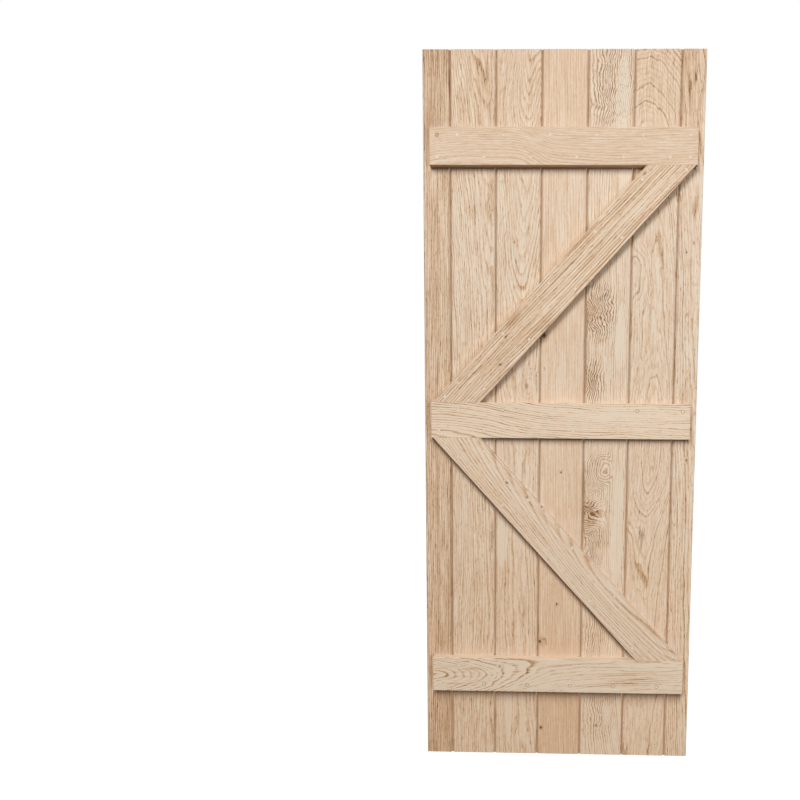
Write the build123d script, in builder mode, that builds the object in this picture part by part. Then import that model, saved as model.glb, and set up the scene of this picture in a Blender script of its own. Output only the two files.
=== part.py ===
from build123d import *
import os
from math import asin, atan2, degrees, hypot, sin, tan

# Ledged and braced door leaf in oak, upright, with +Z up. X runs across the width, left to
# right as seen from the ledged back, which faces -Y. The origin is at the middle of the
# bottom edge, half way through the full thickness. All sizes are in millimetres.

# Leaf
door_width = 762.0
door_height = 1981.0

# Boards, tongued and grooved, with a V-joint on both faces. The two outer boards are ripped
# to width, and the full boards between them share the rest.
board_thickness = 20.0
full_board_count = 5
left_edge_board = 74.0
right_edge_board = 65.5
tongue_thickness = 6.0
tongue_length = 9.0
tongue_side_clearance = 0.2
tongue_end_clearance = 1.0
v_joint_depth = 4.5
outer_edge_ease = 1.5

# Three ledges and two braces on the back of the boards, all of one thickness
member_thickness = 20.0
member_ease = 1.0
ledge_width = 99.0
ledge_end_margin = 21.0
top_ledge_drop = 208.0
bottom_ledge_rise = 200.0
brace_width = 98.0
brace_corner_inset = 4.0

# Fixings: a screw whose head lies flat in a counterbore, under a flush oak plug. They are
# many and small, so their rounds are drawn with a few flat sides each, and every diameter
# is measured across the flats.
screw_sides = 6
screw_diameter = 5.0
screw_head_diameter = 8.5
screw_head_height = 2.5
screw_point_length = 7.0
screw_tip_diameter = 1.0
screw_front_cover = 3.5
plug_sides = 10
plug_diameter = 10.0
plug_length = 6.5
ledge_row_inset = 21.0
ledge_end_fixing = 21.0
brace_row_inset = 17.0
fixing_past_joint = 22.0
fixing_before_joint = 30.0
corner_fixing_past_groove = 4.0

# Places that follow from the sizes
total_thickness = board_thickness + member_thickness
board_back = Plane.XZ.offset(total_thickness / 2 - member_thickness)
member_face = board_back.offset(member_thickness)
head_top = member_face.offset(-plug_length)
head_seat = head_top.offset(-screw_head_height)

full_board_cover = (door_width - left_edge_board - right_edge_board) / full_board_count
first_joint = left_edge_board - door_width / 2
joints = [first_joint + full_board_cover * n for n in range(full_board_count + 1)]
board_edges = [-door_width / 2, *joints, door_width / 2]

groove_width = tongue_thickness + 2 * tongue_side_clearance
groove_depth = tongue_length + tongue_end_clearance

ledge_length = door_width - 2 * ledge_end_margin
top_ledge_z = door_height - top_ledge_drop - ledge_width / 2
bottom_ledge_z = bottom_ledge_rise + ledge_width / 2
middle_ledge_z = (top_ledge_z + bottom_ledge_z) / 2

counterbore_depth = plug_length + screw_head_height
screw_reach = total_thickness - counterbore_depth - screw_front_cover
shank_length = screw_reach - screw_point_length
point_start = head_seat.offset(-shank_length)
point_taper = degrees(atan2(screw_diameter - screw_tip_diameter, 2 * screw_point_length))


def save(builder, name):
    """Label a finished piece and write it to its own file."""
    builder.part.label = name
    export_step(builder.part, f"parts/{name}.step")


# Where the fixings go: each board is fixed twice wherever a member crosses it
def ledge_fixings(ledge_z):
    """Two rows along a ledge, near the left joint of each full board and near its right one."""
    end_x = ledge_length / 2 - ledge_end_fixing
    row_rise = ledge_width / 2 - ledge_row_inset
    upper_row = [-end_x, *[x + fixing_past_joint for x in joints[:-1]], end_x]
    lower_row = [-end_x, *[x - fixing_before_joint for x in joints[1:]], end_x]
    return [(x, ledge_z + row_rise) for x in upper_row] + [
        (x, ledge_z - row_rise) for x in lower_row
    ]


def brace_angle(foot_z, head_z):
    """Slope of a brace that runs from corner to corner of the space between two ledges."""
    rise = abs(head_z - foot_z)
    run = ledge_length - 2 * brace_corner_inset
    return atan2(rise, run) + asin(brace_width / hypot(rise, run))


def brace_corners(foot_z, head_z):
    """Outline of a brace, cut to butt flat against the ledges at its foot and head."""
    reach = ledge_length / 2 - brace_corner_inset
    cut = brace_width / sin(brace_angle(foot_z, head_z))
    return [(-reach, foot_z), (cut - reach, foot_z), (reach, head_z), (reach - cut, head_z)]


def brace_fixings(foot_z, head_z):
    """A row along each long edge of a brace, and one in each acute corner, on an outer board."""
    up = 1 if head_z > foot_z else -1
    angle = brace_angle(foot_z, head_z)
    reach = ledge_length / 2 - brace_corner_inset
    inset = brace_row_inset / sin(angle)
    outer_start = inset - reach
    inner_start = brace_width / sin(angle) - inset - reach
    places = []
    for left_joint, right_joint in zip(joints, joints[1:]):
        outer_x = left_joint + fixing_past_joint
        inner_x = right_joint - fixing_before_joint
        places.append((outer_x, foot_z + up * (outer_x - outer_start) * tan(angle)))
        places.append((inner_x, foot_z + up * (inner_x - inner_start) * tan(angle)))
    low_z, high_z = sorted((foot_z, head_z))
    room = brace_row_inset
    places = [(x, z) for x, z in places if low_z + room < z < high_z - room]
    past_joint = groove_depth + corner_fixing_past_groove
    foot_x = joints[0] - past_joint
    head_x = joints[-1] + past_joint
    places.append((foot_x, foot_z + up * (reach + foot_x) * tan(angle / 2)))
    places.append((head_x, head_z - up * (reach - head_x) * tan(angle / 2)))
    return places


half_ledge = ledge_width / 2
ledge_places = {
    "top_ledge": top_ledge_z,
    "middle_ledge": middle_ledge_z,
    "bottom_ledge": bottom_ledge_z,
}
brace_places = {
    "upper_brace": (middle_ledge_z + half_ledge, top_ledge_z - half_ledge),
    "lower_brace": (middle_ledge_z - half_ledge, bottom_ledge_z + half_ledge),
}
fixings = {name: ledge_fixings(z) for name, z in ledge_places.items()}
fixings |= {name: brace_fixings(*ends) for name, ends in brace_places.items()}
all_fixings = [place for places in fixings.values() for place in places]


def draw_rounds(plane, places, diameter, sides):
    """One round at every place, to be run in from the plane."""
    with BuildSketch(plane) as rounds:
        with Locations(*places):
            RegularPolygon(diameter / 2, sides, major_radius=False)
    return rounds.sketch


# Board: one section drawn in plan and run up the full height, then bored for the screws
def make_board(name, left_x, right_x, has_groove, has_tongue):
    mid_y = board_back.origin.Y + board_thickness / 2
    left_bevel = v_joint_depth if has_groove else outer_edge_ease
    right_bevel = v_joint_depth if has_tongue else outer_edge_ease
    low_x = left_x - screw_diameter
    high_x = right_x + screw_diameter + (tongue_length if has_tongue else 0)
    pilots = [place for place in all_fixings if low_x < place[0] < high_x]
    with BuildPart() as board:
        with BuildSketch(Plane.XY) as section:
            with Locations(((left_x + right_x) / 2, mid_y)):
                Rectangle(right_x - left_x, board_thickness)
            chamfer(section.vertices().group_by(Axis.X)[0], left_bevel)
            chamfer(section.vertices().group_by(Axis.X)[-1], right_bevel)
            if has_groove:
                with Locations((left_x, mid_y)):
                    groove_align = (Align.MIN, Align.CENTER)
                    Rectangle(groove_depth, groove_width, align=groove_align, mode=Mode.SUBTRACT)
            if has_tongue:
                with Locations((right_x, mid_y)):
                    Rectangle(2 * tongue_length, tongue_thickness)
        extrude(amount=door_height)
        pilot_holes = draw_rounds(board_back, pilots, screw_diameter, screw_sides)
        extrude(pilot_holes, amount=screw_front_cover - board_thickness, mode=Mode.SUBTRACT)
    save(board, name)


# Counterbore for each plug and screw head, then the shank hole through the member
def bore_fixings(places):
    counterbores = draw_rounds(member_face, places, plug_diameter, plug_sides)
    extrude(counterbores, amount=-counterbore_depth, mode=Mode.SUBTRACT)
    shank_holes = draw_rounds(head_seat, places, screw_diameter, screw_sides)
    extrude(shank_holes, amount=-member_thickness, mode=Mode.SUBTRACT)


# Ledge: a square-ended bar across the boards, with its outer edges eased
def make_ledge(name, ledge_z):
    with BuildPart() as ledge:
        with BuildSketch(board_back):
            with Locations((0, ledge_z)):
                Rectangle(ledge_length, ledge_width)
        extrude(amount=member_thickness)
        chamfer(ledge.faces().sort_by(Axis.Y)[0].edges(), member_ease)
        bore_fixings(fixings[name])
    save(ledge, name)


# Brace: a diagonal bar between two ledges, eased along its two long outer edges
def make_brace(name, foot_z, head_z):
    with BuildPart() as brace:
        with BuildSketch(board_back):
            Polygon(*brace_corners(foot_z, head_z), align=None)
        extrude(amount=member_thickness)
        outer_face = brace.faces().sort_by(Axis.Y)[0]
        chamfer(outer_face.edges().filter_by(Axis.X, reverse=True), member_ease)
        bore_fixings(fixings[name])
    save(brace, name)


# Plugs of one member, flush with its face and seated on the screw heads
def make_plugs(name, places):
    with BuildPart() as plugs:
        extrude(draw_rounds(member_face, places, plug_diameter, plug_sides), amount=-plug_length)
    save(plugs, name)


# Screws of one member: flat head, shank and point
def make_screws(name, places):
    heads = draw_rounds(head_top, places, screw_head_diameter, screw_sides)
    shanks = draw_rounds(head_seat, places, screw_diameter, screw_sides)
    points = draw_rounds(point_start, places, screw_diameter, screw_sides)
    with BuildPart() as screws:
        extrude(heads, amount=-screw_head_height)
        extrude(shanks, amount=-shank_length)
        extrude(points, amount=-screw_point_length, taper=point_taper)
    save(screws, name)


os.makedirs("parts", exist_ok=True)

for number, (left, right) in enumerate(zip(board_edges, board_edges[1:]), start=1):
    make_board(f"board_{number}", left, right, left in joints, right in joints)

for member, centre_z in ledge_places.items():
    make_ledge(member, centre_z)

for member, ends in brace_places.items():
    make_brace(member, *ends)

for member, member_fixings in fixings.items():
    make_plugs(f"{member}_plugs", member_fixings)
    make_screws(f"{member}_screws", member_fixings)
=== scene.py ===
import math
from collections import namedtuple

import bmesh
import bpy
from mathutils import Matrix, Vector


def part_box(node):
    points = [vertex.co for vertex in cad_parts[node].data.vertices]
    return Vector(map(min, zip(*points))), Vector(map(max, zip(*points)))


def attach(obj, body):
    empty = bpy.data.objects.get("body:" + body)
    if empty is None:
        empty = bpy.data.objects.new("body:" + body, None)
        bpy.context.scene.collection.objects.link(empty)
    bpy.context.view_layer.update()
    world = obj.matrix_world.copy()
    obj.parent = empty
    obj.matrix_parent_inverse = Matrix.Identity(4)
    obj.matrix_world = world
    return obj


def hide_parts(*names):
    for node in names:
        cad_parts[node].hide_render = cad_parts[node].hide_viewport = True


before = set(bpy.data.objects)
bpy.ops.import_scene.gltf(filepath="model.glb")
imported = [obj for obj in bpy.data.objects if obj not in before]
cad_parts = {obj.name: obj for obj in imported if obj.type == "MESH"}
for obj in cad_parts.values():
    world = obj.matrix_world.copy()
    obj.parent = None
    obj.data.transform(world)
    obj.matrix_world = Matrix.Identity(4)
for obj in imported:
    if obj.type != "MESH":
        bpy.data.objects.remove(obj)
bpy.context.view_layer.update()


# Camera. The leaf hangs to the right of the view and is seen from its ledged back, from just
# above half its height. The shift only frames it as the photograph does.
camera_data = bpy.data.cameras.new("camera")
camera_data.sensor_width = 36.0
camera_data.lens = 25.851
camera_data.shift_x = -0.1677
camera_data.shift_y = 0.0410
camera = bpy.data.objects.new("camera", camera_data)
camera.location = (-0.0452, -1.6153, 1.0840)
camera.rotation_euler = [math.radians(angle) for angle in (85.294, -0.429, 1.012)]
bpy.context.scene.collection.objects.link(camera)
bpy.context.scene.camera = camera


# Boards. Seven upright boards of untreated, planed oak, tongued and grooved into each other,
# with a V-joint on both faces. Each was ripped from its own plank and has its own figure.

# The grain is worked out in millimetres, and everything else is in metres
MM = 1000.0


class Wire:
    """A socket of a material, on which shader maths is written as plain sums."""

    def __init__(self, socket):
        self.socket = socket

    def add(self, kind, sockets, output=0, stops=(), points=(), **settings):
        """Any node: its settings, ramp stops or curve points, then its sockets.

        A new ramp or curve has two points already, so only the others are added.
        """
        tree = self.socket.id_data
        node = tree.nodes.new("ShaderNode" + kind)
        for name, value in settings.items():
            setattr(node, name, value)
        for place, _ in stops[2:]:
            node.color_ramp.elements.new(place)
        for number, (place, value) in enumerate(stops):
            element = node.color_ramp.elements[number]
            element.position = place
            element.color = value if isinstance(value, tuple) else (value, value, value, 1.0)
        for place, value in points[2:]:
            node.mapping.curves[0].points.new(place, value)
        for number, place_and_value in enumerate(points):
            node.mapping.curves[0].points[number].location = place_and_value
        if points:
            node.mapping.use_clip = False
            node.mapping.update()
        for name, value in sockets.items():
            if isinstance(value, Wire):
                value.into(node.inputs[name])
            else:
                node.inputs[name].default_value = value
        return Wire(node.outputs[output])

    def into(self, socket):
        """Lead to a socket."""
        self.socket.id_data.links.new(self.socket, socket)

    def work(self, operation, *values):
        """A Math node, or a Vector Math node where one of the values is a vector."""
        if any(isinstance(value, tuple) or is_vector(value) for value in values):
            kind = "VectorMath"
            values = [(value,) * 3 if isinstance(value, float) else value for value in values]
        else:
            kind = "Math"
        return self.add(kind, dict(enumerate(values)), operation=operation)

    def __add__(self, other):
        return self.work("ADD", self, other)

    def __radd__(self, other):
        return self.work("ADD", other, self)

    def __sub__(self, other):
        return self.work("SUBTRACT", self, other)

    def __rsub__(self, other):
        return self.work("SUBTRACT", other, self)

    def __mul__(self, other):
        return self.work("MULTIPLY", self, other)

    def __rmul__(self, other):
        return self.work("MULTIPLY", other, self)

    def __truediv__(self, other):
        return self.work("DIVIDE", self, other)

    def __rtruediv__(self, other):
        return self.work("DIVIDE", other, self)

    def __abs__(self):
        return self.work("ABSOLUTE", self)

    def part(self, axis):
        """The X, Y or Z of a vector."""
        return self.add("SeparateXYZ", {"Vector": self}, output=axis)

    def length(self):
        return self.add("VectorMath", {0: self}, output="Value", operation="LENGTH")

    def dot(self, other):
        """The dot product of two vectors."""
        return self.add("VectorMath", {0: self, 1: other}, output="Value",
                        operation="DOT_PRODUCT")

    def between(self, low, high):
        """Nought at low and one at high, soft at both ends and level beyond them."""
        ends = {"Value": self, "From Min": low, "From Max": high}
        return self.add("MapRange", ends, interpolation_type="SMOOTHSTEP")

    def noise(self, scale, detail=2.0, rough=0.5):
        """Cloudy noise from about minus a half to a half, with a scale for each direction."""
        sockets = {"Vector": self * scale, "Scale": 1.0, "Detail": detail, "Roughness": rough}
        return self.add("TexNoise", sockets) - 0.5

    def drift(self, scale, detail=2.0):
        """The same kind of noise as a vector, to push a pattern about."""
        sockets = {"Vector": self * scale, "Scale": 1.0, "Detail": detail}
        return self.add("TexNoise", sockets, output="Color") - (0.5, 0.5, 0.5)

    def tinted(self, colour, share, **settings):
        """This colour mixed with another, whose sockets on a Mix node are 6 and 7."""
        sockets = {0: share, 6: self, 7: colour}
        return self.add("Mix", sockets, output=2, data_type="RGBA", **settings)


def is_vector(value):
    return isinstance(value, Wire) and value.socket.type == "VECTOR"


def new_material(name):
    """A material, its main shader, and a wire from which its other nodes are added."""
    material = bpy.data.materials.new(name)
    material.use_nodes = True
    shader = material.node_tree.nodes["Principled BSDF"]
    return material, shader, Wire(shader.inputs["Base Color"])


def finish_with(name, material):
    """Give a piece of the frame its material."""
    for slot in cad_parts[name].material_slots:
        slot.material = material


def paint(red, green, blue):
    """A colour given as it looks on a screen, from 0 to 255."""
    shares = [value / 255 for value in (red, green, blue)]
    linear = [s / 12.92 if s <= 0.04045 else ((s + 0.055) / 1.055) ** 2.4 for s in shares]
    return (*linear, 1.0)


PALE_OAK = paint(235, 205, 175)
TAN_OAK = paint(213, 179, 143)
RING_BROWN = paint(178, 137, 99)
PORE_BROWN = paint(132, 94, 63)
SAPWOOD = paint(244, 227, 205)
BURR_BROWN = paint(148, 108, 68)
KNOT_DARK = paint(70, 46, 30)
# Painted shade: grey above the upper edges of the ledges and braces, brown for their shadows
# below
PAINTED_SHADE_GREY = paint(202, 192, 184)
PAINTED_SHADOW_BROWN = paint(96, 56, 28)
REDDENING = (1.06, 0.97, 0.874, 1.0)

# The wood's colour at each value of its darkness, how open the pores are across one year's
# ring, and how deep the pores are in metres
OAK_SHADES = [(0.0, SAPWOOD), (0.2, PALE_OAK), (0.5, TAN_OAK), (0.8, RING_BROWN),
              (1.1, PORE_BROWN)]
DARKEST = OAK_SHADES[-1][0]
RING_PORES = [(0.0, 1.0), (0.14, 0.95), (0.34, 0.25), (0.55, 0.0), (0.94, 0.0), (1.0, 0.9)]
PORE_DEPTH = 0.0003

# Marks in the wood. Their places and half sizes are millimetres on the leaf: x across it, z up
# it, and y through it, where a board's two faces are BACK and FRONT
Swell = namedtuple("Swell", "x z half_width half_length height")
Knot = namedtuple("Knot", "x z radius y")
Streak = namedtuple("Streak", "x z half_width half_length")
Tone = namedtuple("Tone", "x z half_width half_length darker")
Burr = namedtuple("Burr", "x z half_width half_length strength")
BACK = 0.0
FRONT = 20.0

# Half depths of a knot, of a mark that fades into the wood, and of one that runs through it
KNOT_DEPTH = 16.0
FADING = 60.0
THROUGH = 400.0

# Painted shade on the boards beside the ledges and braces: painted shadows below their lower
# edges, and grey painted shade above their upper edges, which damps the light they throw back
# on the boards. Each is an edge from x, z to x, z, with the shade on its right as the camera sees
# it, how far the shade reaches, how strong it is and its colour. The edges that face down come
# first.
ShadeLine = namedtuple("ShadeLine", "x1 z1 x2 z2 reach thickness colour")
PAINTED_SHADE_LINES = [ShadeLine(-360.0, 1674.0, 360.0, 1674.0, 14.0, 0.95, PAINTED_SHADOW_BROWN),
              ShadeLine(-360.0, 937.0, 360.0, 937.0, 22.0, 1.0, PAINTED_SHADOW_BROWN),
              ShadeLine(-360.0, 200.0, 360.0, 200.0, 80.0, 0.85, PAINTED_SHADOW_BROWN),
              ShadeLine(-223.3, 1036.0, 356.0, 1674.0, 30.0, 0.25, PAINTED_SHADOW_BROWN),
              ShadeLine(-356.0, 937.0, 223.3, 299.0, 34.0, 0.95, PAINTED_SHADOW_BROWN),
              ShadeLine(360.0, 1773.0, -360.0, 1773.0, 60.0, 0.25, PAINTED_SHADE_GREY),
              ShadeLine(360.0, 1036.0, -360.0, 1036.0, 50.0, 0.25, PAINTED_SHADE_GREY),
              ShadeLine(360.0, 299.0, -360.0, 299.0, 50.0, 0.45, PAINTED_SHADE_GREY),
              ShadeLine(356.0, 299.0, -223.3, 937.0, 60.0, 0.45, PAINTED_SHADE_GREY)]


def along(place, points):
    """A value that runs smoothly through points given along the grain."""
    low, high = points[0][0], points[-1][0]
    least = min(value for _, value in points)
    reach = max(value for _, value in points) - least or 1.0
    shares = [((at - low) / (high - low), (value - least) / reach) for at, value in points]
    share = (place - low) / (high - low)
    return place.add("FloatCurve", {"Value": share}, points=shares) * reach + least


def with_joints_and_painted_shade(colour, grain, normal, to_grain):
    """A board's colour with the tints of its V-joints, and painted shade beside the ledges and
    braces.
    """
    through = grain.part("Y")

    # A V-joint has a painted highlight along its edges and painted shade on one flank, and its
    # bottom is brown, partly the gap between the boards and partly painted shade
    depth = FRONT / 2 - abs(through - FRONT / 2)
    side = normal.part("X")
    flank = abs(side).between(0.6, 0.7) * abs(side).between(0.8, 0.75)
    colour = colour.tinted(BURR_BROWN, flank * side.between(0.0, -0.5) * 0.3)
    colour = colour.tinted(SAPWOOD, flank * depth.between(0.9, 0.1) * 0.4)
    colour = colour.tinted(BURR_BROWN, flank * depth.between(2.0, 4.4) * 0.65)

    # Painted shade fades with the distance from the edge that it lies against
    on_back = through.between(3.0, 1.0)
    for x1, z1, x2, z2, reach, shade_strength, shade_colour in PAINTED_SHADE_LINES:
        edge_length = math.dist((x1, z1), (x2, z2))
        run = ((x2 - x1) / edge_length, 0.0, (z2 - z1) / edge_length)
        outwards = (run[2], 0.0, -run[0])
        from_start = grain - to_grain(x1, BACK, z1)
        away = from_start.dot(outwards)
        past_start = from_start.dot(run)
        beside = past_start.between(-3.0, 1.0)
        beside = beside * past_start.between(edge_length + 3.0, edge_length - 1.0)
        painted_shade = away.between(reach, 0.0) * away.between(-3.0, -1.0) * beside * on_back
        colour = colour.tinted(shade_colour, painted_shade * painted_shade * painted_shade * shade_strength)
    return colour


def finish_in_oak(name, seed, heart, turn=0.0, ring=5.0, lines=0.5, even=0.2, dashes=0.2,
                  strands=0.6, strand=110.0, waves=2.0, shade=0.2, redness=0.0, swells=(),
                  knots=(), tones=(), pale=(), dark=(), burrs=()):
    """Give a piece of the frame solid oak, whose rings stand round the heart of its tree.

    Each piece has its own seed and heart, which is points on the heart's line: how far along the
    grain, and then across and through the piece. turn leans the grain from upright. ring is the
    width of a year's growth, lines is how dark the rings are and even how alike. dashes and
    strands are how dark the open pores and the longer fibres are, and strand is how long those
    run. waves is how far the grain wanders, shade how dark the whole piece is and redness how
    red. The lists are the marks that the piece shows.
    """
    material, shader, base = new_material(name + "_oak")
    low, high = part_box(name)
    middle_x = (low[0] + high[0]) / 2 * MM
    middle_z = (low[2] + high[2]) / 2 * MM
    cos_turn = math.cos(turn)
    sin_turn = math.sin(turn)
    is_board = turn == 0.0

    def to_grain(x, y, z):
        """A place on the leaf as millimetres across, through and along this piece's grain."""
        across, up = x - middle_x, z - middle_z
        return (across * cos_turn - up * sin_turn, y, across * sin_turn + up * cos_turn)

    def spot(field, place, half_sizes):
        """One at a place on the leaf, falling softly to nought on an oval round it."""
        scale = tuple(1.0 / size for size in half_sizes)
        shift = tuple(-at / size for at, size in zip(to_grain(*place), half_sizes))
        offset = field.work("MULTIPLY_ADD", field, scale, shift)
        return offset.dot(offset).between(1.0, 0.0)

    placing = {"Vector": base.add("TexCoord", {}, output="Object"),
               "Location": to_grain(0.0, 0.0, 0.0), "Rotation": (0.0, -turn, 0.0),
               "Scale": (MM, MM, MM)}
    grain = base.add("Mapping", placing)
    own = grain + (seed * 431.0, seed * 173.0, seed * 719.0)
    length = grain.part("Z")
    if is_board:
        # Boards have painted shade towards their tops and are redder towards their feet
        shade = length.between(560.0, 960.0) * 0.08 + shade
        redness = length.between(250.0, -900.0) * 1.4 + redness

    # The heart's line wanders, and every ring wavers with it
    sway = own.drift((0.011, 0.011, 0.0026), 3.0) * (waves * 9.0, waves * 9.0, 0.0)
    heart_line = base.add("CombineXYZ", {
        "X": along(length, [(at, side) for at, side, _ in heart]),
        "Y": along(length, [(at, depth) for at, _, depth in heart])})
    radius = (grain * (1.0, 1.0, 0.0) - heart_line + sway).length()
    radius = radius + own.noise((0.05, 0.05, 0.012)) * waves * 1.5
    for x, z, half_width, half_length, height in swells:
        radius = radius + spot(grain, (x, BACK, z), (half_width, THROUGH, half_length)) * height
    for x, z, size, y in knots:
        knot_swell = spot(grain, (x, y, z), (size * 3.2, KNOT_DEPTH, size * 7.0))
        radius = radius + knot_swell * (ring * 2.5)

    # Burr curls the rings and hides the straight fibres
    wild, calm = 0.0, 1.0
    for x, z, half_width, half_length, strength in burrs:
        wild = wild + spot(grain, (x, BACK, z), (half_width, THROUGH, half_length)) * strength
    if burrs:
        radius = radius + own.noise((0.013, 0.013, 0.024), 1.0, 0.4) * wild * 38.0
        radius = radius + own.noise((0.05, 0.05, 0.08), 1.0, 0.5) * wild * 8.0
        calm = 1.0 - wild.work("MINIMUM", wild, 1.0) * 0.75

    # Each ring starts with a band of open pores and ends in dense wood
    count = radius / ring
    number = count.work("FLOOR", count)
    own_strength = number.add("TexWhiteNoise", {"W": number + seed * 7.0}, noise_dimensions="1D")
    porous = base.add("ValToRGB", {"Fac": count - number}, stops=RING_PORES)
    porous = porous * (own_strength * own_strength * (1.0 - even) + even)

    # Open pores are short dark dashes along the grain, closest in the porous bands, and strands
    # of darker fibre run further
    fibre = own + sway - heart_line * (1.0, 0.08, 0.0)
    fine = fibre.noise((1.2, 1.2, 0.08), 2.0, 0.6)
    dash = fibre.noise((0.5, 0.5, 0.055), 1.5, 0.6).between(0.03, 0.22)
    long_strand = fibre.noise((0.36, 0.36, 1.0 / strand), 1.0, 0.7)
    clouds = own.noise((0.014, 0.014, 0.0035), 3.0, 0.6)
    pores = (fine + porous * 0.15).between(0.08, 0.3)
    darkness = porous * (dash * 0.6 + 0.7) * lines + clouds * 0.2 + shade
    darkness = darkness + (dash * dashes + long_strand * strands) * calm
    darkness = darkness + fine * 0.35 + pores * 0.15
    if burrs:
        broken = own.noise((0.13, 0.13, 0.13), 1.0).between(-0.2, 0.1)
        curl = base.work("SINE", count * math.tau).between(0.0, 1.0) * (broken * 0.7 + 0.3)
        darkness = darkness + wild * (curl * 0.95 + 0.05)
    for x, z, half_width, half_length, darker in tones:
        tone = spot(grain + sway, (x, BACK, z), (half_width, FADING, half_length))
        darkness = darkness + tone * darker
    stops = [(value / DARKEST, oak) for value, oak in OAK_SHADES]
    colour = base.add("ValToRGB", {"Fac": darkness / DARKEST}, stops=stops)

    # Sapwood, dark streaks, burr and knots, with frayed outlines
    frayed = grain + sway + own.drift((0.14, 0.14, 0.1)) * (6.0, 0.0, 8.0)
    for x, z, half_width, half_length in pale:
        streak = spot(frayed, (x, BACK, z), (half_width, FADING, half_length))
        colour = colour.tinted(SAPWOOD, streak.between(0.0, 0.6) * 0.7)
    for x, z, half_width, half_length in dark:
        streak = spot(frayed, (x, BACK, z), (half_width, FADING, half_length))
        colour = colour.tinted(BURR_BROWN, streak * (dash * 0.4 + 0.5))
    if burrs:
        brown = own.noise((0.05, 0.05, 0.07), 4.0, 0.65).between(0.0, 0.22)
        specks = own.noise((0.3, 0.3, 0.22), 2.0, 0.6).between(0.04, 0.2)
        colour = colour.tinted(BURR_BROWN, wild * brown * (curl * 0.4 + 0.5))
        colour = colour.tinted(BURR_BROWN, wild * specks * 0.45)
    for x, z, size, y in knots:
        halo = spot(frayed, (x, y, z), (size * 2.8, KNOT_DEPTH, size * 4.5))
        knot_heart = spot(frayed, (x, y, z), (size * 1.3, KNOT_DEPTH, size * 1.7))
        cracked = own.noise((0.45, 0.45, 0.3), 2.0).between(-0.25, 0.05)
        colour = colour.tinted(RING_BROWN, halo * 0.4)
        colour = colour.tinted(KNOT_DARK, knot_heart.between(0.1, 0.7) * (cracked * 0.5 + 0.45))

    # End grain is darker, and a sawn edge has a painted highlight where it faces up and painted
    # shade where it faces down
    normal = base.add("TexCoord", {}, output="Normal")
    end_grain = abs(normal.dot((sin_turn, 0.0, cos_turn))).between(0.8, 0.9)
    sawn = abs(normal.part("Y")).between(0.4, 0.3)
    facing_up = normal.part("Z")
    colour = colour.tinted(PORE_BROWN, end_grain * 0.3)
    colour = colour.tinted(SAPWOOD, sawn * facing_up.between(0.3, 0.6) * 0.9)
    colour = colour.tinted(BURR_BROWN, sawn * facing_up.between(-0.3, -0.6) * 0.55)
    # Boards get their V-joint tints, and painted shade beside the ledges and braces
    if is_board:
        colour = with_joints_and_painted_shade(colour, grain, normal, to_grain)
    colour = colour.tinted(REDDENING, redness * 0.5, blend_type="MULTIPLY")
    colour.into(shader.inputs["Base Color"])

    # Open pores are rough and lie a little under the planed face
    rough = 0.58 + porous * 0.1 + pores * 0.15
    rough.into(shader.inputs["Roughness"])
    relief = porous * -0.35 - pores * 0.45 - dash * 0.4 - long_strand * 0.6
    bump = base.add("Bump", {"Height": relief, "Strength": 0.4, "Distance": PORE_DEPTH})
    bump.into(shader.inputs["Normal"])
    shader.inputs["Specular IOR Level"].default_value = 0.35
    finish_with(name, material)


# Board 1: the narrow left edge board, coarse and straight
finish_in_oak(
    "board_1", seed=1.0, ring=6.0, lines=0.75, even=0.4, dashes=0.35, strands=1.4, shade=0.22,
    heart=[(-1000.0, -190.0, 40.0), (1000.0, -170.0, 60.0)],
    tones=[Tone(-340.0, 50.0, 60.0, 400.0, 0.1), Tone(-345.0, 1920.0, 60.0, 260.0, 0.13)])

# Board 2: straight, with brown streaks that waver
finish_in_oak(
    "board_2", seed=2.0, ring=4.5, lines=0.6, even=0.5, dashes=0.35, strands=1.1, waves=3.0,
    shade=0.07,
    heart=[(-1000.0, 60.0, 80.0), (0.0, 70.0, 70.0), (600.0, 45.0, 60.0), (1000.0, 15.0, 40.0)],
    tones=[Tone(-215.0, 1850.0, 35.0, 180.0, 0.12)],
    dark=[Streak(-190.0, 650.0, 5.0, 60.0), Streak(-243.0, 1560.0, 3.0, 60.0)],
    knots=[Knot(-271.0, 1023.0, 2.4, FRONT), Knot(-224.0, 315.0, 2.2, FRONT)])

# Board 3: nested curves pointing down, and a ringed knot below the brace
finish_in_oak(
    "board_3", seed=3.0, ring=3.6, lines=0.7, even=0.35, dashes=0.32, strands=0.85, shade=0.07,
    heart=[(-1000.0, 20.0, 90.0), (0.0, 0.0, 96.0), (510.0, 8.0, 70.0), (969.0, 34.0, 31.0)],
    swells=[Swell(-95.0, 1082.0, 40.0, 62.0, 30.0)],
    knots=[Knot(-132.0, 1477.0, 1.6, BACK), Knot(-141.0, 1220.0, 3.0, FRONT),
           Knot(-170.0, 1232.0, 1.8, FRONT), Knot(-70.0, 1859.0, 1.5, FRONT),
           Knot(-90.0, 1793.0, 1.5, FRONT)],
    dark=[Streak(-95.0, 1082.0, 7.0, 13.0), Streak(-67.0, 1090.0, 2.0, 35.0)],
    pale=[Streak(-163.0, 632.0, 20.0, 90.0), Streak(-140.0, 130.0, 13.0, 125.0)])

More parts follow.
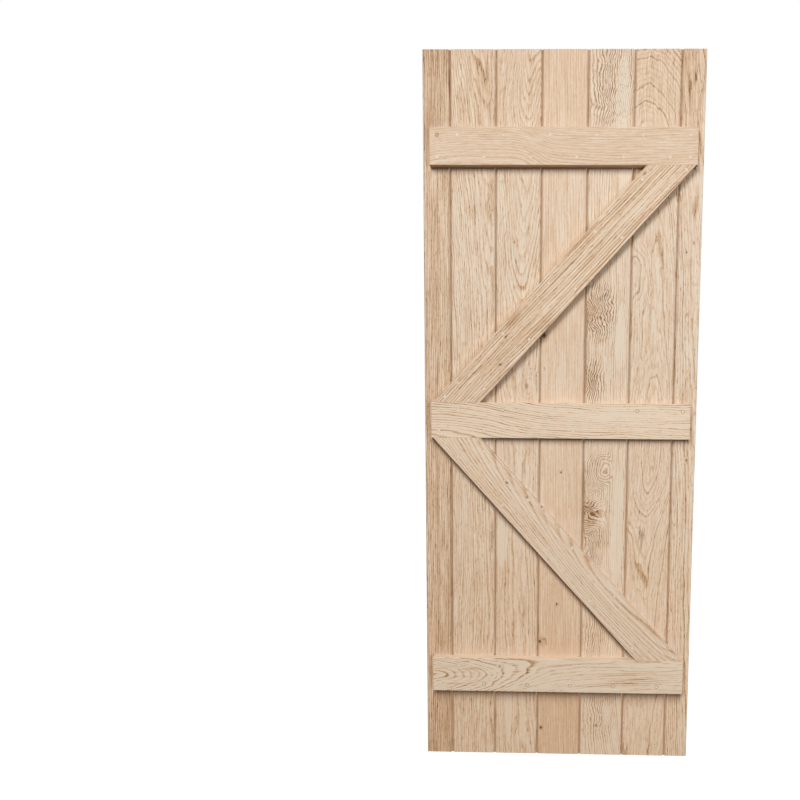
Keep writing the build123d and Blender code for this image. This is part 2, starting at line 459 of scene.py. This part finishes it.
# Board 4: quarter-sawn and fine, with small knots, redder low down
finish_in_oak(
    "board_4", seed=4.0, ring=7.0, lines=0.25, even=0.5, dashes=0.15, strands=0.75, waves=1.5,
    shade=0.11, redness=0.3,
    heart=[(-1000.0, 220.0, 60.0), (1000.0, 200.0, 70.0)],
    tones=[Tone(4.0, 120.0, 90.0, 480.0, 0.1), Tone(-46.0, 343.0, 15.0, 26.0, 0.2)],
    swells=[Swell(-46.0, 343.0, 14.0, 24.0, 24.0)],
    knots=[Knot(-46.0, 1224.0, 6.0, BACK), Knot(6.0, 840.0, 1.8, BACK),
           Knot(-2.0, 455.0, 2.0, BACK), Knot(-52.0, 342.0, 3.6, BACK),
           Knot(-46.0, 80.0, 2.6, BACK)],
    dark=[Streak(-43.0, 1130.0, 2.5, 9.0), Streak(-56.0, 380.0, 3.0, 30.0),
          Streak(-40.0, 350.0, 9.0, 5.0), Streak(-34.0, 342.0, 3.0, 14.0)])

# Board 5: wild burr figure, with a pale strip of sapwood down its right side
finish_in_oak(
    "board_5", seed=5.0, lines=0.75, even=0.4, dashes=0.2, strands=0.9, waves=3.5, shade=0.02,
    heart=[(-1000.0, -60.0, 60.0), (0.0, -90.0, 50.0), (1000.0, -70.0, 60.0)],
    swells=[Swell(95.0, 850.0, 60.0, 70.0, 34.0), Swell(35.0, 720.0, 110.0, 75.0, 44.0)],
    pale=[Streak(165.0, 1850.0, 22.0, 150.0), Streak(172.0, 1600.0, 18.0, 200.0),
          Streak(165.0, 1220.0, 16.0, 110.0), Streak(172.0, 780.0, 15.0, 90.0),
          Streak(168.0, 620.0, 20.0, 120.0), Streak(150.0, 130.0, 16.0, 45.0)],
    burrs=[Burr(105.0, 1290.0, 60.0, 110.0, 1.0), Burr(92.0, 1090.0, 40.0, 90.0, 0.9),
           Burr(105.0, 830.0, 55.0, 80.0, 0.45), Burr(88.0, 720.0, 36.0, 50.0, 1.1),
           Burr(100.0, 650.0, 50.0, 45.0, 0.7), Burr(88.0, 580.0, 42.0, 50.0, 1.0),
           Burr(130.0, 1880.0, 80.0, 180.0, 0.7), Burr(105.0, 360.0, 50.0, 90.0, 0.4),
           Burr(125.0, 120.0, 60.0, 110.0, 0.5)],
    knots=[Knot(117.0, 90.0, 2.0, BACK)],
    tones=[Tone(82.0, 1290.0, 25.0, 60.0, 0.15), Tone(82.0, 720.0, 26.0, 60.0, 0.2),
           Tone(85.0, 1100.0, 26.0, 50.0, 0.12), Tone(85.0, 590.0, 26.0, 60.0, 0.1),
           Tone(130.0, 1900.0, 80.0, 200.0, -0.1), Tone(130.0, 80.0, 80.0, 200.0, -0.1)],
    dark=[Streak(72.0, 1200.0, 4.5, 150.0), Streak(71.0, 760.0, 4.0, 140.0),
          Streak(71.0, 1480.0, 3.0, 90.0)])

# Board 6: wide arches at the top and long pointed ones below
finish_in_oak(
    "board_6", seed=6.0, lines=0.75, even=0.14, dashes=0.3, strands=0.85, waves=4.0, shade=0.08,
    heart=[(-1000.0, -25.0, 110.0), (-340.0, -18.0, 70.0), (-40.0, 0.0, 32.0), (220.0, 0.0, 50.0),
           (500.0, -15.0, 62.0), (770.0, -27.0, 78.0), (870.0, -27.0, 105.0),
           (990.0, -20.0, 150.0)],
    swells=[Swell(220.0, 1385.0, 34.0, 95.0, 14.0)],
    dark=[Streak(232.0, 650.0, 4.5, 40.0), Streak(226.0, 668.0, 3.0, 30.0),
          Streak(238.0, 664.0, 2.5, 24.0)],
    knots=[Knot(278.0, 970.0, 1.6, FRONT), Knot(214.0, 982.0, 1.6, FRONT),
           Knot(233.0, 1079.0, 1.6, FRONT), Knot(251.0, 322.0, 2.0, FRONT),
           Knot(268.0, 173.0, 1.8, FRONT), Knot(203.0, 38.0, 1.8, FRONT)])

# Board 7: the narrow right edge board, darker, with lines that bow to its edge
finish_in_oak(
    "board_7", seed=7.0, ring=5.0, lines=0.9, even=0.35, dashes=0.4, strands=1.2, waves=3.0,
    shade=0.05,
    heart=[(-1000.0, 60.0, 60.0), (0.0, 40.0, 50.0), (1000.0, 0.0, 45.0)],
    tones=[Tone(350.0, 1920.0, 60.0, 260.0, 0.15)],
    knots=[Knot(360.0, 1475.0, 1.8, BACK), Knot(337.0, 1452.0, 1.8, BACK),
           Knot(350.0, 1282.0, 1.8, BACK), Knot(356.0, 878.0, 2.0, BACK)])


# Ledges. Three level bars of planed oak that hold the boards flat, one near each end of the
# leaf and one between them. Their grain runs across the leaf.
LEVEL = math.pi / 2
MEMBER_FACE = -20.0

# Top ledge: fine and even
finish_in_oak(
    "top_ledge", seed=11.0, turn=LEVEL, lines=0.35, even=0.5, dashes=0.1, strands=0.55,
    strand=60.0, waves=2.5, shade=0.16,
    heart=[(-400.0, 80.0, 35.0), (-150.0, 54.0, 30.0), (0.0, 85.0, 40.0), (400.0, 75.0, 45.0)])

# Middle ledge: long brown lines, paler towards the right
finish_in_oak(
    "middle_ledge", seed=12.0, turn=LEVEL, ring=5.5, lines=1.2, even=0.55, dashes=0.12,
    strands=1.5, strand=150.0, waves=3.0, shade=-0.12, redness=0.9,
    heart=[(-400.0, 60.0, 40.0), (-330.0, 62.0, 40.0), (0.0, 108.0, 40.0), (400.0, 120.0, 40.0)],
    tones=[Tone(170.0, 1000.0, 55.0, 340.0, -0.28)])

# Bottom ledge: an eye of rings at the left, and pale streaks to the right of it
finish_in_oak(
    "bottom_ledge", seed=13.0, turn=LEVEL, ring=3.6, lines=1.2, even=0.4, dashes=0.2, strands=1.6,
    strand=150.0, waves=2.0, shade=-0.18, redness=0.9,
    heart=[(-400.0, 6.0, 36.0), (-235.0, 0.0, 60.0), (-110.0, -20.0, 72.0), (0.0, -44.0, 80.0),
           (400.0, -80.0, 76.0)],
    swells=[Swell(-275.0, 250.0, 30.0, 130.0, -8.0)],
    tones=[Tone(215.0, 250.0, 38.0, 140.0, 0.22), Tone(-280.0, 250.0, 50.0, 100.0, 0.08)],
    knots=[Knot(-165.0, 276.0, 2.0, MEMBER_FACE)],
    pale=[Streak(60.0, 213.0, 7.0, 210.0), Streak(-60.0, 252.0, 3.5, 60.0),
          Streak(260.0, 278.0, 4.0, 90.0), Streak(300.0, 222.0, 5.0, 50.0)])


# Braces. Two bars that run from corner to corner between the ledges and carry the leaf's free
# edge. Their grain runs along them, and the upper one is the darker.
BRACE_LEAN = math.radians(42.4)

# Upper brace: coarse and brown, with small knots
finish_in_oak(
    "upper_brace", seed=15.0, turn=BRACE_LEAN, ring=6.5, lines=1.0, even=0.25, dashes=0.35,
    strands=1.7, strand=200.0, waves=1.6, shade=0.13, redness=0.4,
    heart=[(-500.0, 150.0, 50.0), (500.0, 170.0, 60.0)],
    tones=[Tone(-130.0, 1262.0, 14.0, 45.0, 0.3), Tone(-60.0, 1240.0, 30.0, 90.0, 0.15)],
    pale=[Streak(180.0, 1540.0, 4.0, 150.0)],
    knots=[Knot(-150.0, 1216.0, 2.5, MEMBER_FACE), Knot(-167.0, 1140.0, 2.5, MEMBER_FACE),
           Knot(219.0, 1652.0, 2.2, MEMBER_FACE)])

# Lower brace: finer and paler
finish_in_oak(
    "lower_brace", seed=16.0, turn=-BRACE_LEAN, ring=4.5, lines=0.65, even=0.45, dashes=0.2,
    strands=0.95, strand=260.0, waves=1.3, shade=0.05, redness=0.6,
    heart=[(-500.0, 52.0, 60.0), (-250.0, 46.0, 45.0), (100.0, 50.0, 60.0), (500.0, 60.0, 90.0)],
    tones=[Tone(10.0, 735.0, 22.0, 260.0, 0.12), Tone(60.0, 510.0, 14.0, 220.0, -0.1),
           Tone(-169.0, 755.0, 20.0, 200.0, 0.13)],
    knots=[Knot(-148.0, 811.0, 1.8, MEMBER_FACE), Knot(-92.0, 769.0, 1.8, MEMBER_FACE),
           Knot(-50.0, 744.0, 1.6, MEMBER_FACE)],
    dark=[Streak(62.0, 532.0, 2.0, 40.0), Streak(155.0, 496.0, 2.0, 30.0)])


# Screws. Flat-headed wood screws of zinc-plated steel, driven through the ledges and braces into
# the boards. Each head sits at the bottom of a counterbore, where a plug hides it.
MEMBERS = ("top_ledge", "middle_ledge", "bottom_ledge", "upper_brace", "lower_brace")


def in_millimetres(base):
    """The place on a piece, in millimetres."""
    return base.add("TexCoord", {}, output="Object") * (MM, MM, MM)


zinc, shader, base = new_material("zinc_plated_steel")
smear = in_millimetres(base).noise((0.5, 0.12, 0.5), 3.0, 0.6)
plating = base.add("ValToRGB", {"Fac": smear + 0.5},
                   stops=[(0.0, paint(150, 152, 156)), (1.0, paint(205, 206, 204))])
plating.into(shader.inputs["Base Color"])
(0.36 + smear * 0.3).into(shader.inputs["Roughness"])
shader.inputs["Metallic"].default_value = 1.0
for member in MEMBERS:
    finish_with(member + "_screws", zinc)


# Plugs. Short oak pegs glued into the counterbores over the screw heads and planed flush, a few
# with a browner face or a dark glue line. They are round here, where the frame's have flat sides.
PLUG_RADIUS = 0.0051
GLUE_LINE = 0.0009
MERGE_DISTANCE = 1e-5
PLUG_SIDES = 32

# Places on the leaf in millimetres, each WITHIN so much of the plug that it stands for
BROWN_PLUGS = [(-340.0, 1752.0)]
RINGED_PLUGS = [(-161.0, 1015.0), (208.0, 1015.0), (340.0, 1015.0), (-81.0, 1208.0),
                (-213.0, 220.0), (-88.0, 220.0), (36.0, 220.0), (161.0, 220.0), (285.0, 220.0)]
WITHIN = 25.0

# How dark a brown plug's face and a dark glue line are, from nought to one. The other plugs
# differ a little from each other.
BROWN_FACE = 0.7
DARK_GLUE = 0.75

plug_oak, shader, base = new_material("plug_oak")
tone = base.add("Attribute", {}, output="Fac", attribute_name="tone")
fibres = in_millimetres(base).noise((0.25, 0.8, 1.4), 3.0, 0.6)
colour = base.add("ValToRGB", {"Fac": tone + fibres * 0.8},
                  stops=[(0.0, SAPWOOD), (0.3, PALE_OAK), (0.6, TAN_OAK), (1.0, RING_BROWN)])
bump = base.add("Bump", {"Height": fibres, "Strength": 0.4, "Distance": PORE_DEPTH})
colour.into(shader.inputs["Base Color"])
(0.62 + fibres * 0.2).into(shader.inputs["Roughness"])
bump.into(shader.inputs["Normal"])

glue, shader, base = new_material("glue_line")
tone = base.add("Attribute", {}, output="Fac", attribute_name="rim_tone")
darkness = tone + in_millimetres(base).noise((0.4, 0.4, 0.4)) * 0.5
colour = base.add("ValToRGB", {"Fac": darkness},
                  stops=[(0.0, PALE_OAK), (0.2, TAN_OAK), (0.5, RING_BROWN), (0.8, PORE_BROWN)])
colour.into(shader.inputs["Base Color"])
shader.inputs["Roughness"].default_value = 0.7


def plug_places(node):
    """The middle of each plug, from the plugs of the frame, in rows from the lowest up."""
    shape = bmesh.new()
    shape.from_mesh(node.data)
    bmesh.ops.remove_doubles(shape, verts=shape.verts, dist=MERGE_DISTANCE)
    places = []
    seen = set()
    for first in shape.verts:
        if first in seen:
            continue
        seen.add(first)
        corners = [first]
        for corner in corners:
            near = [edge.other_vert(corner) for edge in corner.link_edges]
            fresh = [vert for vert in near if vert not in seen]
            seen.update(fresh)
            corners.extend(fresh)
        places.append(sum((corner.co for corner in corners), Vector()) / len(corners))
    shape.free()
    return sorted(places, key=lambda place: (round(place.z, 4), round(place.x, 4)))


def geometry_node(tree, kind, sockets, **settings):
    """A geometry node: its settings first, then the values or links of its sockets."""
    node = tree.nodes.new(kind)
    for name, value in settings.items():
        setattr(node, name, value)
    for name, value in sockets.items():
        if isinstance(value, bpy.types.NodeSocket):
            tree.links.new(value, node.inputs[name])
        else:
            node.inputs[name].default_value = value
    return node.outputs


def plug_tree():
    """A round plug on every point, with a flat ring as wide as the glue line round its face."""
    tree = bpy.data.node_groups.new("plugs", "GeometryNodeTree")
    tree.interface.new_socket("Points", in_out="INPUT", socket_type="NodeSocketGeometry")
    for name in ("Radius", "Depth", "Glue line"):
        tree.interface.new_socket(name, in_out="INPUT", socket_type="NodeSocketFloat")
    tree.interface.new_socket("Plugs", in_out="OUTPUT", socket_type="NodeSocketGeometry")
    given = tree.nodes.new("NodeGroupInput").outputs

    disc = geometry_node(tree, "GeometryNodeMeshCircle", {
        "Vertices": PLUG_SIDES, "Radius": given["Radius"]}, fill_type="NGON")[0]
    back = geometry_node(tree, "GeometryNodeFlipFaces", {"Mesh": disc})[0]
    body = geometry_node(tree, "GeometryNodeExtrudeMesh", {
        "Mesh": disc, "Offset Scale": given["Depth"]})
    rim = geometry_node(tree, "GeometryNodeExtrudeMesh", {
        "Mesh": body["Mesh"], "Selection": body["Top"], "Offset Scale": 0.0})
    rim_share = geometry_node(tree, "ShaderNodeMath", {
        0: given["Glue line"], 1: given["Radius"]}, operation="DIVIDE")[0]
    face_share = geometry_node(tree, "ShaderNodeMath", {
        0: 1.0, 1: rim_share}, operation="SUBTRACT")[0]
    face = geometry_node(tree, "GeometryNodeScaleElements", {
        "Geometry": rim["Mesh"], "Selection": rim["Top"], "Scale": face_share})[0]
    marked = geometry_node(tree, "GeometryNodeStoreNamedAttribute", {
        "Geometry": face, "Name": "glue", "Value": rim["Side"]},
        data_type="BOOLEAN", domain="FACE")[0]
    join = tree.nodes.new("GeometryNodeJoinGeometry")
    tree.links.new(marked, join.inputs[0])
    tree.links.new(back, join.inputs[0])
    closed = geometry_node(tree, "GeometryNodeMergeByDistance", {
        "Geometry": join.outputs[0], "Distance": MERGE_DISTANCE})[0]

    points = geometry_node(tree, "GeometryNodeMeshToPoints", {"Mesh": given["Points"]})[0]
    placed = geometry_node(tree, "GeometryNodeInstanceOnPoints", {
        "Points": points, "Instance": closed, "Rotation": (math.pi / 2, 0.0, 0.0)})[0]
    real = geometry_node(tree, "GeometryNodeRealizeInstances", {"Geometry": placed})[0]
    glued = geometry_node(tree, "GeometryNodeInputNamedAttribute", {
        "Name": "glue"}, data_type="BOOLEAN")[0]
    plugs = geometry_node(tree, "GeometryNodeSetMaterial", {
        "Geometry": real, "Material": plug_oak})[0]
    plugs = geometry_node(tree, "GeometryNodeSetMaterial", {
        "Geometry": plugs, "Selection": glued, "Material": glue})[0]
    result = tree.nodes.new("NodeGroupOutput")
    tree.links.new(plugs, result.inputs[0])
    return tree


tree = plug_tree()
for member in MEMBERS:
    node_name = member + "_plugs"
    low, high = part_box(node_name)
    places = plug_places(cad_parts[node_name])
    mesh = bpy.data.meshes.new(node_name)
    mesh.from_pydata([(place.x, high[1], place.z) for place in places], [], [])
    tones = mesh.attributes.new("tone", "FLOAT", "POINT")
    rim_tones = mesh.attributes.new("rim_tone", "FLOAT", "POINT")
    for number, place in enumerate(places):
        on_leaf = (place.x * MM, place.z * MM)
        brown = min(math.dist(on_leaf, other) for other in BROWN_PLUGS) < WITHIN
        ringed = min(math.dist(on_leaf, other) for other in RINGED_PLUGS) < WITHIN
        tones.data[number].value = BROWN_FACE if brown else 0.05 * (number * 7 % 5) - 0.05
        rim_tones.data[number].value = DARK_GLUE if brown or ringed else 0.04 * (number * 3 % 4)
    points = bpy.data.objects.new(node_name + "_points", mesh)
    bpy.context.scene.collection.objects.link(points)
    modifier = points.modifiers.new("plugs", "NODES")
    modifier.node_group = tree
    sizes = {"Radius": PLUG_RADIUS, "Depth": high[1] - low[1], "Glue line": GLUE_LINE}
    for item in tree.interface.items_tree:
        if item.name in sizes:
            modifier[item.identifier] = sizes[item.name]
    depsgraph = bpy.context.evaluated_depsgraph_get()
    plug_mesh = bpy.data.meshes.new_from_object(points.evaluated_get(depsgraph))
    plugs = bpy.data.objects.new("round_" + node_name, plug_mesh)
    bpy.context.scene.collection.objects.link(plugs)
    bpy.data.objects.remove(points)
    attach(plugs, "root")
    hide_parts(node_name)


# Stage. A pale floor under the leaf, a white surround, and three soft lamps: a wide one high up
# to the left of the ledged back, which leaves the undersides of the ledges dark, a small one to
# its right, and one behind the leaf for its front face.
WHITE = (1.0, 1.0, 1.0, 1.0)
bpy.ops.mesh.primitive_plane_add(size=14.0)
floor = bpy.context.object
floor.name = "floor"

# The camera sees the floor as white with the leaf's shadow on it, but the floor throws little
# light back on the leaf
floor_paint, shader, base = new_material("floor_paint")
shader.inputs["Roughness"].default_value = 0.9
camera_ray = base.add("LightPath", {}, output="Is Camera Ray")
(camera_ray * 0.7 + 0.1).into(shader.inputs["Base Color"])
painted = Wire(shader.outputs["BSDF"])
glow = base.add("Emission", {"Strength": 1.16})
surface = base.add("MixShader", {0: camera_ray * 0.85, 1: painted, 2: glow})
surface.into(floor_paint.node_tree.nodes["Material Output"].inputs["Surface"])
floor.data.materials.append(floor_paint)

# The surround is white to the camera and in reflections, and lights the leaf only a little
world = bpy.data.worlds.new("studio")
bpy.context.scene.world = world
world.use_nodes = True
background = world.node_tree.nodes["Background"]
background.inputs["Color"].default_value = WHITE
background.inputs["Strength"].default_value = 0.07
dim = Wire(background.outputs["Background"])
camera_ray = dim.add("LightPath", {}, output="Is Camera Ray")
glossy_ray = dim.add("LightPath", {}, output="Is Glossy Ray")
white = dim.add("Background", {"Color": WHITE, "Strength": 1.0})
seen = camera_ray.work("MAXIMUM", camera_ray, glossy_ray)
surround = dim.add("MixShader", {0: seen, 1: dim, 2: white})
surround.into(world.node_tree.nodes["World Output"].inputs["Surface"])


def softbox(name, place, turn, size, power):
    """A flat soft lamp, which shines straight down until it is turned."""
    lamp_data = bpy.data.lights.new(name, "AREA")
    lamp_data.shape = "RECTANGLE"
    lamp_data.size, lamp_data.size_y = size
    lamp_data.energy = power
    lamp = bpy.data.objects.new(name, lamp_data)
    lamp.location = place
    lamp.rotation_euler = [math.radians(angle) for angle in turn]
    bpy.context.scene.collection.objects.link(lamp)


softbox("upper_left", (-2.3, -6.0, 5.6), (55.0, 0.0, -21.0), (3.2, 4.2), 425.0)
softbox("right", (2.4, -3.2, 1.2), (89.0, 0.0, 37.0), (1.6, 1.6), 47.0)
softbox("behind", (1.5, 5.0, 4.0), (60.0, 0.0, 163.3), (3.0, 3.0), 190.0)

bpy.context.scene.view_settings.view_transform = "Standard"
